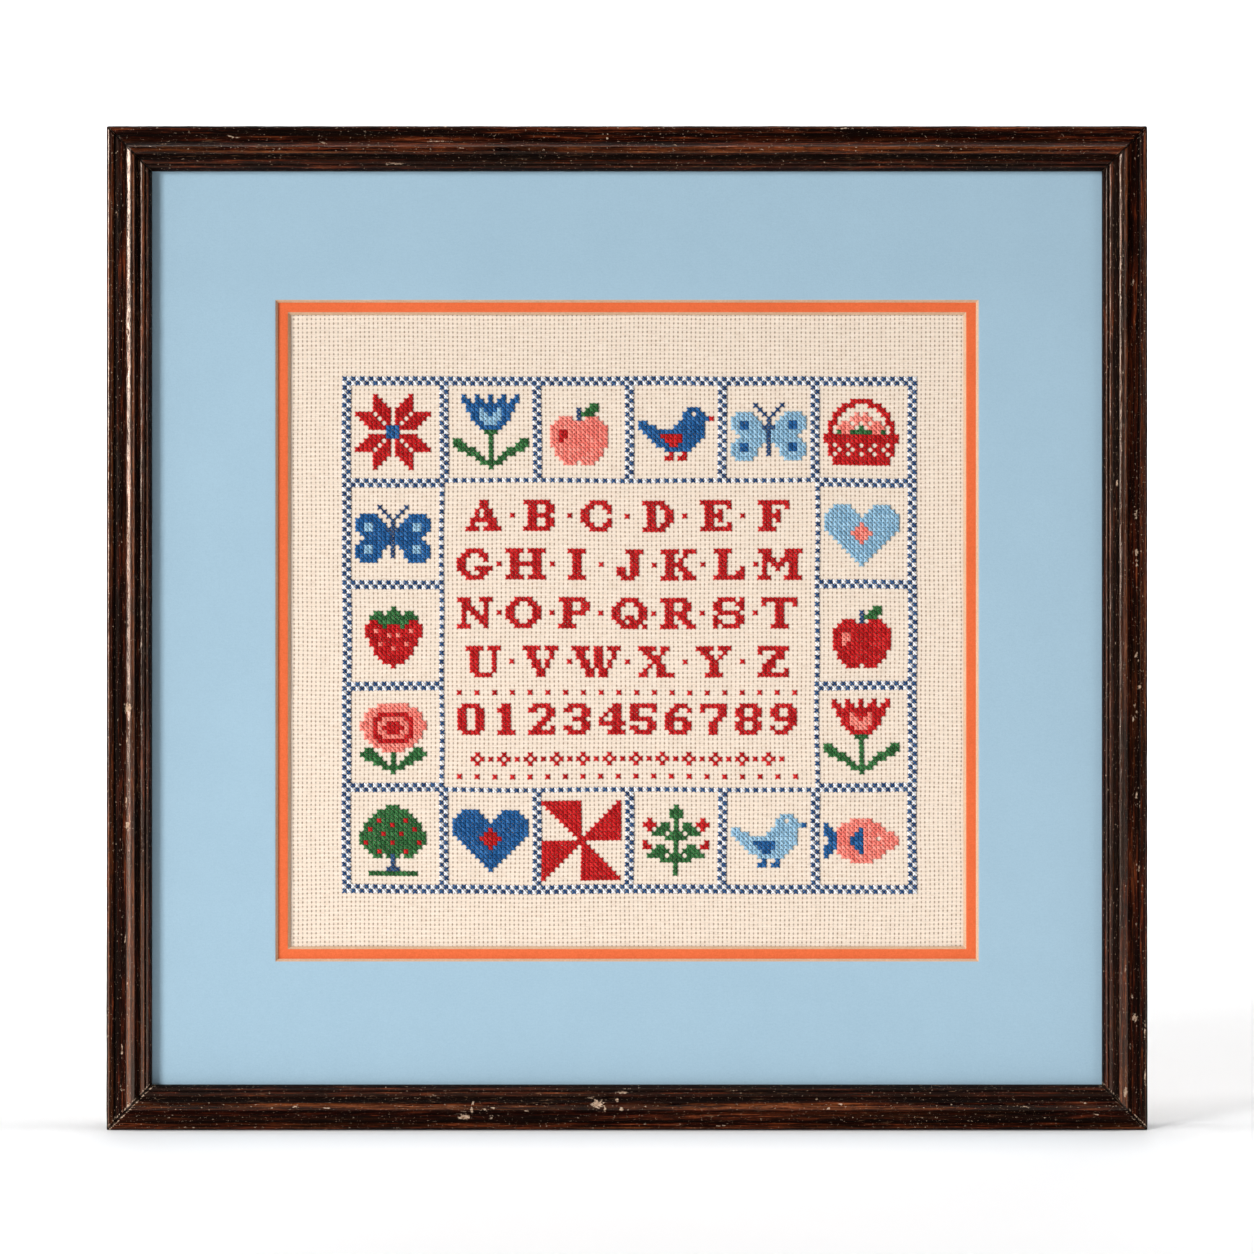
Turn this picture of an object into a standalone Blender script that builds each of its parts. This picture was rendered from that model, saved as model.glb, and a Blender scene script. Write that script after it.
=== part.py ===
"""A framed cross stitch sampler: reeded wood rails, two bevelled mats, stretched cloth and a board.

Units are metres. +Z is up, +X is to the right, and the stitched face looks along -Y. The frame stands
on its bottom edge. The origin is at the middle of that edge, halfway through the frame's depth.
"""

import math

import bmesh
import bpy

MM = 0.001

# The whole frame, seen from the front
FRAME_WIDTH = 424 * MM
FRAME_HEIGHT = 409 * MM

# The moulding, across its width from the outer side to the sight edge
RAIL_WIDTH = 17.6 * MM
RABBET_WIDTH = 5.2 * MM
RABBET_DEPTH = 12.5 * MM
OUTER_SIDE_HEIGHT = 18.7 * MM

# Clearances between pieces that touch on the real frame
JOINT_GAP = 0.3 * MM
SIDE_PLAY = 1.0 * MM
TOP_PLAY = 1.7 * MM

# Sheets in the rabbet, front to back
MAT_THICKNESS = 1.3 * MM
BEVEL_WIDTH = 1.0 * MM
CLOTH_THICKNESS = 1.0 * MM
BOARD_THICKNESS = 3.0 * MM

# The outer mat's window at its front face, a little low in the frame
MAT_WINDOW_WIDTH = 288 * MM
MAT_WINDOW_HEIGHT = 271 * MM
WINDOW_DROP = 1.1 * MM

# The inner mat shows as a band this wide, and the cloth reaches this far past the inner mat's window
INNER_MAT_BAND = 3.9 * MM
CLOTH_MARGIN = 18 * MM

# Finishes: a linear colour and a roughness
WOOD = ((0.035, 0.012, 0.006), 0.38)
BLUE_MAT = ((0.41, 0.58, 0.69), 0.9)
ORANGE_MAT = ((0.83, 0.18, 0.07), 0.9)
AIDA = ((0.92, 0.80, 0.66), 0.95)
HARDBOARD = ((0.20, 0.11, 0.055), 0.8)

# The members of the moulding's front, from the outer side inwards. Each runs from where the last ended
# to its own across and height, in millimetres from the outer side and from the back. Its bow is how far
# it swells out at its middle, or sinks where that is negative.
MOULDING = (
    # member, across, height, bow, steps
    ("arris", 0.62, 19.28, 0.07, 3),
    ("outer side of the first reed", 1.15, 19.49, 0.02, 2),
    ("inner side of the first reed", 1.80, 19.20, 0.06, 2),
    ("second outer reed", 2.90, 19.08, 0.15, 4),
    ("drop behind the reeds", 3.10, 18.45, 0.00, 1),
    ("outer quirk", 3.75, 18.40, -0.15, 2),
    ("long slope", 6.30, 18.65, 0.08, 4),
    ("shoulder", 8.40, 20.85, -0.06, 4),
    ("outer side of the crown", 9.85, 21.44, 0.04, 3),
    ("crown top", 10.35, 21.5695, 0.01, 1),
    ("inner shoulder of the crown", 10.80, 21.47, 0.01, 1),
    ("inner side of the crown", 11.70, 21.10, 0.03, 3),
    ("drop into the cove", 12.00, 20.30, 0.00, 1),
    ("cove", 13.45, 18.25, -0.40, 6),
    ("outer side of the bead", 14.20, 18.56, 0.02, 2),
    ("top of the bead", 14.65, 18.58, 0.02, 1),
    ("inner side of the bead", 15.25, 18.36, 0.02, 2),
    ("drop behind the bead", 15.42, 17.45, 0.00, 1),
    ("inner fillet", 15.90, 17.38, 0.00, 1),
    ("lip bead", 16.75, 17.15, 0.16, 4),
    ("lip slope", 17.60, 15.20, 0.06, 2),
)

SMOOTH_ANGLE = math.radians(38)


def moulding_section():
    """The moulding's closed outline as (across, height) points, from the back's outer corner round.

    Each member is a parabola: the straight line between its ends, plus its bow times 4 t (1 - t) at
    right angles to that line, with t running from 0 to 1.
    """
    section = [(0.0, 0.0), (0.0, OUTER_SIDE_HEIGHT)]
    for _member, across, height, bow, steps in MOULDING:
        start_across, start_height = section[-1]
        run = across * MM - start_across
        rise = height * MM - start_height
        length = math.hypot(run, rise)
        for step in range(1, steps + 1):
            t = step / steps
            swell = bow * MM * 4 * t * (1 - t)
            point_across = start_across + run * t - swell * rise / length
            point_height = start_height + rise * t + swell * run / length
            section.append((point_across, point_height))
    back_of_lip = RAIL_WIDTH - RABBET_WIDTH
    section += [(RAIL_WIDTH, RABBET_DEPTH), (back_of_lip, RABBET_DEPTH), (back_of_lip, 0.0)]
    return section


SECTION = moulding_section()
FRAME_DEPTH = max(height for _across, height in SECTION)


def y_at(height):
    """The depth coordinate of something this high above the frame's back plane."""
    return FRAME_DEPTH / 2 - height


def finished(name, data, look):
    """Makes the object of a closed mesh, with its faces turned outwards and a material of its own."""
    bmesh.ops.recalc_face_normals(data, faces=data.faces)
    mesh = bpy.data.meshes.new(name)
    data.to_mesh(mesh)
    data.free()
    color, roughness = look
    material = bpy.data.materials.new(name + "_finish")
    material.use_nodes = True
    shader = material.node_tree.nodes["Principled BSDF"]
    shader.inputs["Base Color"].default_value = (*color, 1.0)
    shader.inputs["Roughness"].default_value = roughness
    shader.inputs["Metallic"].default_value = 0.0
    mesh.materials.append(material)
    piece = bpy.data.objects.new(name, mesh)
    bpy.context.scene.collection.objects.link(piece)
    return piece


def mitred_rail(name, place):
    """One length of moulding with both ends cut at 45 degrees.

    place(across, end) gives x and z of a point of the section at one end of the rail, -1 or +1.
    """
    data = bmesh.new()
    rings = []
    for end in (-1, 1):
        ring = []
        for across, height in SECTION:
            x, z = place(across, end)
            ring.append(data.verts.new((x, y_at(height), z)))
        data.faces.new(ring)
        rings.append(ring)
    near, far = rings
    for i in range(len(SECTION)):
        data.faces.new((near[i - 1], near[i], far[i], far[i - 1]))
    rail = finished(name, data, WOOD)
    rail.data.shade_smooth()
    rail.data.set_sharp_from_angle(angle=SMOOTH_ANGLE)


def upright_loop(data, width, height, centre_z, above_back):
    """Four vertices of an upright rectangle, centred left to right, this high above the back plane."""
    corners = ((-1, -1), (1, -1), (1, 1), (-1, 1))
    y = y_at(above_back)
    return [data.verts.new((sx * width / 2, y, centre_z + sz * height / 2)) for sx, sz in corners]


def sheet(name, outline, front, thickness, look, window=None):
    """A flat sheet whose front face is this high above the back plane, with a bevelled window or none.

    outline and window are (width, height, centre_z). The window is measured at the front face, and
    each of its sides comes in by the bevel's width at the back face.
    """
    data = bmesh.new()
    back = front - thickness
    outer_back = upright_loop(data, *outline, back)
    outer_front = upright_loop(data, *outline, front)
    loops = [outer_back, outer_front]
    if window:
        width, height, centre_z = window
        narrowed = (width - 2 * BEVEL_WIDTH, height - 2 * BEVEL_WIDTH, centre_z)
        loops.append(upright_loop(data, *window, front))
        loops.append(upright_loop(data, *narrowed, back))
        loops.append(outer_back)
    else:
        data.faces.new(outer_front)
        data.faces.new(outer_back)
    for near, far in zip(loops, loops[1:]):
        for i in range(4):
            data.faces.new((near[i - 1], near[i], far[i], far[i - 1]))
    finished(name, data, look)


for startup_object in list(bpy.data.objects):
    bpy.data.objects.remove(startup_object, do_unlink=True)

# The frame's four rails. Each mitre face is set back by half the joint gap, measured along the rail.
HALF_WIDTH = FRAME_WIDTH / 2
HALF_HEIGHT = FRAME_HEIGHT / 2
SET_BACK = JOINT_GAP / math.sqrt(2)


def level_rail(name, side):
    """The bottom rail, with side -1, or the top rail, with side +1."""

    def place(across, end):
        return end * (HALF_WIDTH - across - SET_BACK), HALF_HEIGHT + side * (HALF_HEIGHT - across)

    mitred_rail(name, place)


def upright_rail(name, side):
    """The left rail, with side -1, or the right rail, with side +1."""

    def place(across, end):
        return side * (HALF_WIDTH - across), HALF_HEIGHT + end * (HALF_HEIGHT - across - SET_BACK)

    mitred_rail(name, place)


level_rail("rail_bottom", -1)
level_rail("rail_top", 1)
upright_rail("rail_left", -1)
upright_rail("rail_right", 1)

# The mats and the board share one outline, which fills the rabbet and rests on the bottom rail
RABBET_INSET = RAIL_WIDTH - RABBET_WIDTH
SHEET_WIDTH = FRAME_WIDTH - 2 * (RABBET_INSET + SIDE_PLAY)
SHEET_BOTTOM = RABBET_INSET + JOINT_GAP
SHEET_TOP = FRAME_HEIGHT - RABBET_INSET - TOP_PLAY
SHEET_OUTLINE = (SHEET_WIDTH, SHEET_TOP - SHEET_BOTTOM, (SHEET_TOP + SHEET_BOTTOM) / 2)

# The windows, and the cloth behind them
WINDOW_CENTRE = HALF_HEIGHT - WINDOW_DROP
OUTER_WINDOW = (MAT_WINDOW_WIDTH, MAT_WINDOW_HEIGHT, WINDOW_CENTRE)
STEP_IN = 2 * (BEVEL_WIDTH + INNER_MAT_BAND)
INNER_WINDOW = (MAT_WINDOW_WIDTH - STEP_IN, MAT_WINDOW_HEIGHT - STEP_IN, WINDOW_CENTRE)
CLOTH_WIDTH = INNER_WINDOW[0] + 2 * CLOTH_MARGIN
CLOTH_HEIGHT = INNER_WINDOW[1] + 2 * CLOTH_MARGIN
CLOTH_OUTLINE = (CLOTH_WIDTH, CLOTH_HEIGHT, WINDOW_CENTRE)

# Front faces of the stack, each sheet seated a joint gap behind the one before it
OUTER_MAT_FRONT = RABBET_DEPTH - JOINT_GAP
INNER_MAT_FRONT = OUTER_MAT_FRONT - MAT_THICKNESS - JOINT_GAP
CLOTH_FRONT = INNER_MAT_FRONT - MAT_THICKNESS - JOINT_GAP
BOARD_FRONT = CLOTH_FRONT - CLOTH_THICKNESS - JOINT_GAP

sheet("outer_mat", SHEET_OUTLINE, OUTER_MAT_FRONT, MAT_THICKNESS, BLUE_MAT, window=OUTER_WINDOW)
sheet("inner_mat", SHEET_OUTLINE, INNER_MAT_FRONT, MAT_THICKNESS, ORANGE_MAT, window=INNER_WINDOW)
sheet("aida_cloth", CLOTH_OUTLINE, CLOTH_FRONT, CLOTH_THICKNESS, AIDA)
sheet("backing_board", SHEET_OUTLINE, BOARD_FRONT, BOARD_THICKNESS, HARDBOARD)
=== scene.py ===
# %% [markdown]
# # A framed cross stitch sampler
#
# The real thing is a piece of cream aida cloth, stitched with an alphabet and a ring of small pictures.
# It is stretched over a board, shown through two bevelled mats, and held in an old reeded wood frame.
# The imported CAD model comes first, because it fixes where everything is. Each later cell then makes one
# piece or one finish, and prints what it made.

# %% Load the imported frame
import math

import bpy
import numpy as np
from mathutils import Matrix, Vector


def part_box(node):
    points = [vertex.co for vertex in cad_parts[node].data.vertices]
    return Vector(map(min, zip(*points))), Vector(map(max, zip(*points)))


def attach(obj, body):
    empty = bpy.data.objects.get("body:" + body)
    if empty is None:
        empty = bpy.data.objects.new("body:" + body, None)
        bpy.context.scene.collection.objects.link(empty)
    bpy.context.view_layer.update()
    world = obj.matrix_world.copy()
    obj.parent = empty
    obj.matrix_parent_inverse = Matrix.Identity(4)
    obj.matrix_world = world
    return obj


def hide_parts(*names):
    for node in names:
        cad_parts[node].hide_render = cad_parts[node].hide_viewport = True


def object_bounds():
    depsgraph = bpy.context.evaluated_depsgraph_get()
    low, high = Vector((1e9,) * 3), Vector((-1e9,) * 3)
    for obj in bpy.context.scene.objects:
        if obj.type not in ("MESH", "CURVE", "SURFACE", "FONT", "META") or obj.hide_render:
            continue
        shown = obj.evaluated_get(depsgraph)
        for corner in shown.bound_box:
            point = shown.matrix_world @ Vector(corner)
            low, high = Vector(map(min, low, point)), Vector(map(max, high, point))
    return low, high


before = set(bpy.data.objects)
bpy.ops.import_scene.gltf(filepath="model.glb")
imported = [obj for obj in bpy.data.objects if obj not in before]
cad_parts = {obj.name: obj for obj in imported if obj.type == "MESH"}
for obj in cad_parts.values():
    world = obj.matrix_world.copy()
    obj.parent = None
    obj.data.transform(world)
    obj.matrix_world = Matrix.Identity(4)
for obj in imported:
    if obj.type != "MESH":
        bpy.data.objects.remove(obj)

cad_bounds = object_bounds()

print("CAD nodes:", sorted(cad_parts))

# %% [markdown]
# ## Sizes that come from the CAD source
#
# The sheets' places can be read from the imported nodes. The section of the moulding can't, so its table is
# repeated here. Each member is a straight line between its ends plus a bow at right angles to it, the
# same formula as in the CAD source, so the dressed rails fill the same space. One more column says how
# each member has aged and how light is painted on it: up to 1 where it is rubbed bright, which is rubbing
# plus a painted highlight, and down to -1 where it is darkened, which is grime plus painted shade in the
# hollows. Lengths are millimetres until a point goes into a mesh.

# %% The moulding's table and the pitch of the cloth
MM = 0.001
RAIL_WIDTH = 17.6
RABBET_WIDTH = 5.2
RABBET_DEPTH = 12.5
OUTER_SIDE_HEIGHT = 18.7
MITRE_SET_BACK = 0.03
BEVEL_WIDTH = 1.0

MOULDING = (
    # member, across, height, bow, steps, wear with painted light: rubbing and painted highlight up to 1,
    # grime and painted shade down to -1
    ("arris", 0.62, 19.28, 0.07, 3, -0.30),
    ("outer side of the first reed", 1.15, 19.49, 0.02, 2, 1.00),
    ("inner side of the first reed", 1.80, 19.20, 0.06, 2, 0.20),
    ("second outer reed", 2.90, 19.08, 0.15, 4, 0.25),
    ("drop behind the reeds", 3.10, 18.45, 0.00, 1, -0.80),
    ("outer quirk", 3.75, 18.40, -0.15, 2, -1.00),
    ("long slope", 6.30, 18.65, 0.08, 4, 0.10),
    ("shoulder", 8.40, 20.85, -0.06, 4, 0.00),
    ("outer side of the crown", 9.85, 21.44, 0.04, 3, 1.00),
    ("crown top", 10.35, 21.5695, 0.01, 1, 0.40),
    ("inner shoulder of the crown", 10.80, 21.47, 0.01, 1, 0.40),
    ("inner side of the crown", 11.70, 21.10, 0.03, 3, 1.00),
    ("drop into the cove", 12.00, 20.30, 0.00, 1, -1.00),
    ("cove", 13.45, 18.25, -0.40, 6, -0.60),
    ("outer side of the bead", 14.20, 18.56, 0.02, 2, 1.00),
    ("top of the bead", 14.65, 18.58, 0.02, 1, 0.50),
    ("inner side of the bead", 15.25, 18.36, 0.02, 2, 1.00),
    ("drop behind the bead", 15.42, 17.45, 0.00, 1, -1.00),
    ("inner fillet", 15.90, 17.38, 0.00, 1, -0.80),
    ("lip bead", 16.75, 17.15, 0.16, 4, 0.60),
    ("lip slope", 17.60, 15.20, 0.06, 2, -0.40),
)

# Fourteen-count aida has a hole every fourteenth of an inch
PITCH = 25.4 / 14

print("a stitch is", round(PITCH, 4), "mm")

# %% [markdown]
# ## From arrays to meshes
#
# Nearly every piece here is a grid of points, so three helpers are enough. One turns a grid into
# four-sided faces, one puts arrays straight into a Blender mesh, and one gives a surface the small
# unevenness of handwork. Whole arrays go in at once with foreach_set, which is far quicker than adding
# vertices one by one.


# %% Grid, mesh and unevenness helpers
def grid_faces(rows, columns, wrap_rows=False, wrap_columns=False):
    """Faces between neighbours of a grid of points that is stored row after row.

    The corner of row i and column j is point i * columns + j. A wrapped direction also joins its last
    line to its first.
    """
    i, j = np.meshgrid(
        np.arange(rows if wrap_rows else rows - 1),
        np.arange(columns if wrap_columns else columns - 1),
        indexing="ij",
    )
    next_i = (i + 1) % rows
    next_j = (j + 1) % columns
    corners = (i * columns + j, i * columns + next_j, next_i * columns + next_j, next_i * columns + j)
    return np.stack(corners, axis=-1).reshape(-1, 4)


def make_piece(name, points, *face_groups, smooth_angle=None):
    """An object at the origin from an (n, 3) array of points in millimetres.

    Each face group is an array with one face a row. All faces are smooth, and edges that turn by more
    than smooth_angle, in degrees, stay crisp.
    """
    mesh = bpy.data.meshes.new(name)
    mesh.vertices.add(len(points))
    mesh.vertices.foreach_set("co", (points * MM).astype(np.float32).ravel())
    corners = np.concatenate([group.ravel() for group in face_groups])
    sizes = np.concatenate([np.full(len(group), group.shape[1]) for group in face_groups])
    mesh.loops.add(len(corners))
    mesh.loops.foreach_set("vertex_index", corners.astype(np.int32))
    mesh.polygons.add(len(sizes))
    mesh.polygons.foreach_set("loop_start", (np.cumsum(sizes) - sizes).astype(np.int32))
    mesh.update(calc_edges=True)
    mesh.shade_smooth()
    if smooth_angle is not None:
        mesh.set_sharp_from_angle(angle=math.radians(smooth_angle))
    piece = bpy.data.objects.new(name, mesh)
    bpy.context.scene.collection.objects.link(piece)
    triangles = int((sizes - 2).sum())
    print(f"{name}: {len(points)} points, {triangles} triangles")
    return piece


def corner_map(piece, name, values):
    """Stores a (corners, 2) array as a UV map of that name."""
    layer = piece.data.uv_layers.new(name=name)
    layer.data.foreach_set("uv", values.astype(np.float32).ravel())


def point_numbers(piece, name, values):
    """Stores one number, or one vector, for each point as an attribute of that name."""
    kind, field = ("FLOAT", "value") if values.ndim == 1 else ("FLOAT_VECTOR", "vector")
    attribute = piece.data.attributes.new(name, kind, "POINT")
    attribute.data.foreach_set(field, values.astype(np.float32).ravel())


def unevenness(seed, waves, first, second, first_lengths, second_lengths):
    """A sum of sine waves over two coordinates, scaled to stay near -1 to 1.

    Each wave is sin(2 pi (first / a + second / b) + phase). Its lengths a and b are drawn evenly from the
    two given ranges, and its sign and phase are drawn too, all from one seed.
    """
    draw = np.random.default_rng(seed)
    total = np.zeros(np.broadcast(first, second).shape)
    for _wave in range(waves):
        a = draw.uniform(*first_lengths)
        b = draw.uniform(*second_lengths) * draw.choice((-1, 1))
        total += np.sin(2 * np.pi * (first / a + second / b) + draw.uniform(0, 2 * np.pi))
    return total / math.sqrt(waves)


# %% [markdown]
# ## Building finishes from nodes
#
# A finish is a small tree of nodes. These helpers keep each tree short: one adds a node and feeds its
# sockets, and the others name the few steps that come back all the time, such as a mixture of values, a
# blend of two colours, and a soft threshold.


# %% Node helpers
def new_finish(name):
    """An empty node material with its tree and its shader."""
    material = bpy.data.materials.new(name)
    material.use_nodes = True
    tree = material.node_tree
    return material, tree, tree.nodes["Principled BSDF"]


def feed(tree, socket, value):
    """Links an output to the socket, or sets the socket to a number or colour."""
    if isinstance(value, bpy.types.NodeSocket):
        tree.links.new(value, socket)
    elif hasattr(value, "__len__") and socket.type == "RGBA":
        socket.default_value = (*value[:3], 1.0)
    else:
        socket.default_value = value


def add(tree, kind, sockets, **settings):
    """Adds a node of that kind, with its settings and with its sockets fed."""
    made = tree.nodes.new("ShaderNode" + kind)
    for name, value in settings.items():
        setattr(made, name, value)
    for name, value in sockets.items():
        feed(tree, made.inputs[name], value)
    return made


def arithmetic(tree, operation, a, b=0.0):
    """The result of one Math node."""
    return add(tree, "Math", {0: a, 1: b}, operation=operation).outputs[0]


def times(tree, a, b):
    """The product of two values."""
    return arithmetic(tree, "MULTIPLY", a, b)


def plus(tree, a, b):
    """The sum of two values."""
    return arithmetic(tree, "ADD", a, b)


def mixture(tree, *shares):
    """The sum of values, each times its share."""
    total = None
    for value, share in shares:
        part = times(tree, value, share)
        total = part if total is None else plus(tree, total, part)
    return total


def blend(tree, amount, a, b):
    """Colour a turning into colour b as amount goes from 0 to 1."""
    return add(tree, "Mix", {0: amount, 6: a, 7: b}, data_type="RGBA").outputs[2]


def threshold(tree, value, low, high):
    """0 at low, 1 at high, an S curve between them and level beyond. low may be the larger of the two."""
    sockets = {"Value": value, "From Min": low, "From Max": high}
    return add(tree, "MapRange", sockets, interpolation_type="SMOOTHSTEP").outputs[0]


def rescale(tree, value, low, high, at_low, at_high):
    """at_low where value is low, at_high where it is high, straight between them and level beyond."""
    sockets = {"Value": value, "From Min": low, "From Max": high, "To Min": at_low, "To Max": at_high}
    return add(tree, "MapRange", sockets).outputs[0]


def colours(tree, value, *stops):
    """A colour ramp through (position, colour) stops."""
    ramp = add(tree, "ValToRGB", {0: value})
    elements = ramp.color_ramp.elements
    while len(elements) < len(stops):
        elements.new(0.5)
    for element, (position, colour) in zip(elements, stops):
        element.position = position
        element.color = (*colour, 1.0)
    return ramp.outputs[0]


def clouds(tree, place, scale, detail=3.0, roughness=0.55, shift=(0.0, 0.0, 0.0), distortion=0.0):
    """Noise over place, scaled in each direction. The shift makes it a pattern of its own."""
    mapped = add(tree, "Mapping", {"Vector": place, "Scale": scale, "Location": shift}).outputs[0]
    sockets = {
        "Vector": mapped, "Scale": 1.0, "Detail": detail, "Roughness": roughness, "Distortion": distortion
    }
    return add(tree, "TexNoise", sockets).outputs["Fac"]


def relief(tree, height, depth_mm, strength):
    """A normal from a height between 0 and 1, worth depth_mm where it is 1."""
    sockets = {"Height": height, "Distance": depth_mm * MM, "Strength": strength}
    return add(tree, "Bump", sockets).outputs[0]


# %% [markdown]
# ## The camera, the floor and the lights
#
# The photograph looks straight at the sampler from a little over a metre, through a long lens, so its
# sides stay parallel. The sampler stands on a white floor that sweeps up into a white wall. A large
# softbox at the left draws the shadow inside the left rail and the bright lines along it. A wide one
# overhead whitens the floor, a weak one lifts the right side, and the last one whitens the wall.


# %% Camera, sweep and softboxes
MIDDLE = Vector((0.0, 0.0, 0.2045))


def look_from(thing, place, target):
    """Puts a camera or light at place, turned so that it looks at target."""
    thing.location = place
    thing.rotation_euler = (Vector(target) - Vector(place)).to_track_quat("-Z", "Y").to_euler()


camera = bpy.data.objects.new("camera", bpy.data.cameras.new("camera"))
camera.data.lens = 85
camera.data.sensor_width = 36
bpy.context.scene.collection.objects.link(camera)
look_from(camera, (0.0, -1.214, 0.2049), (0.0, 0.0, 0.2049))
bpy.context.scene.camera = camera
bpy.context.scene.view_settings.view_transform = "Standard"


def softbox(name, place, target, width, height, watts):
    """A rectangular light that the camera doesn't see."""
    light = bpy.data.lights.new(name, "AREA")
    light.shape = "RECTANGLE"
    light.size = width
    light.size_y = height
    light.energy = watts
    lamp = bpy.data.objects.new(name, light)
    lamp.visible_camera = False
    bpy.context.scene.collection.objects.link(lamp)
    look_from(lamp, place, target)


softbox("key_left", (-3.0, -2.9, 1.1), MIDDLE, 1.2, 1.9, 170)
softbox("overhead", (0.0, -0.05, 1.9), (0.0, -0.05, 0.0), 2.4, 0.5, 32)
softbox("fill_right", (1.3, -1.3, 0.4), MIDDLE, 0.5, 0.6, 2.3)
softbox("wall_wash", (0.0, 1.2, 1.6), (0.0, 2.6, 0.8), 2.4, 0.6, 85)


def sweep_floor():
    """A floor that bends up into a wall, one profile carried along X.

    The profile runs level to the bend, follows a quarter circle of 0.7 m, and then rises.
    """
    angle = np.linspace(0, np.pi / 2, 24)
    y = np.concatenate([[-1.3], 1.9 + 0.7 * np.sin(angle), [2.6]])
    z = np.concatenate([[0.0], 0.7 * (1 - np.cos(angle)), [3.2]])
    x = np.array([-3.5, 3.5])
    points = np.stack(np.broadcast_arrays(x[None, :], y[:, None], z[:, None]), axis=-1)
    return make_piece("floor", points.reshape(-1, 3) / MM, grid_faces(len(y), 2))


floor = sweep_floor()
floor_paint, tree, shader = new_finish("floor_paint")
place = add(tree, "TexCoord", {}).outputs["Object"]
feed(tree, shader.inputs["Base Color"], colours(
    tree, clouds(tree, place, (3, 3, 3)), (0.3, (0.90, 0.90, 0.90)), (0.7, (0.93, 0.93, 0.93))
))
shader.inputs["Roughness"].default_value = 0.9
floor.data.materials.append(floor_paint)

world = bpy.data.worlds.new("studio")
bpy.context.scene.world = world
world.use_nodes = True
tree = world.node_tree
background = tree.nodes["Background"]
seen = add(tree, "LightPath", {}).outputs["Is Camera Ray"]
feed(tree, background.inputs["Color"], blend(tree, seen, (0.020, 0.020, 0.024), (1.0, 1.0, 1.0)))

# %% [markdown]
# ## The finish of the wood
#
# The rails are softwood under a nearly black brown stain and an old varnish. Long streaks of reddish
# brown show through, the ridges are painted paler, partly as rubbing and partly as a painted highlight,
# and small knocks have opened the bare tan wood. The grain has to run along each rail and follow the
# moulding, so the nodes read a map called grain. It holds metres along the rail and metres round the
# section. Three numbers go with it. The first says how rubbed or grimy the wood is, together with the
# painted highlight on rubbed ridges and the painted shade in grimy hollows, bare says where a knock
# went through the stain, and joint says how near the mitre is.
#
# Old varnish shines only where it is rubbed, so the reeds and beads get a brighter finish than the
# hollows between them. The left rail shines most, the right one less and the other two only a little,
# so one recipe makes four finishes.


# %% Stained wood and raw wood
GRIME_AND_SHADE = (0.0030, 0.0012, 0.0008)
SOOT = (0.0018, 0.0008, 0.0006)


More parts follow.
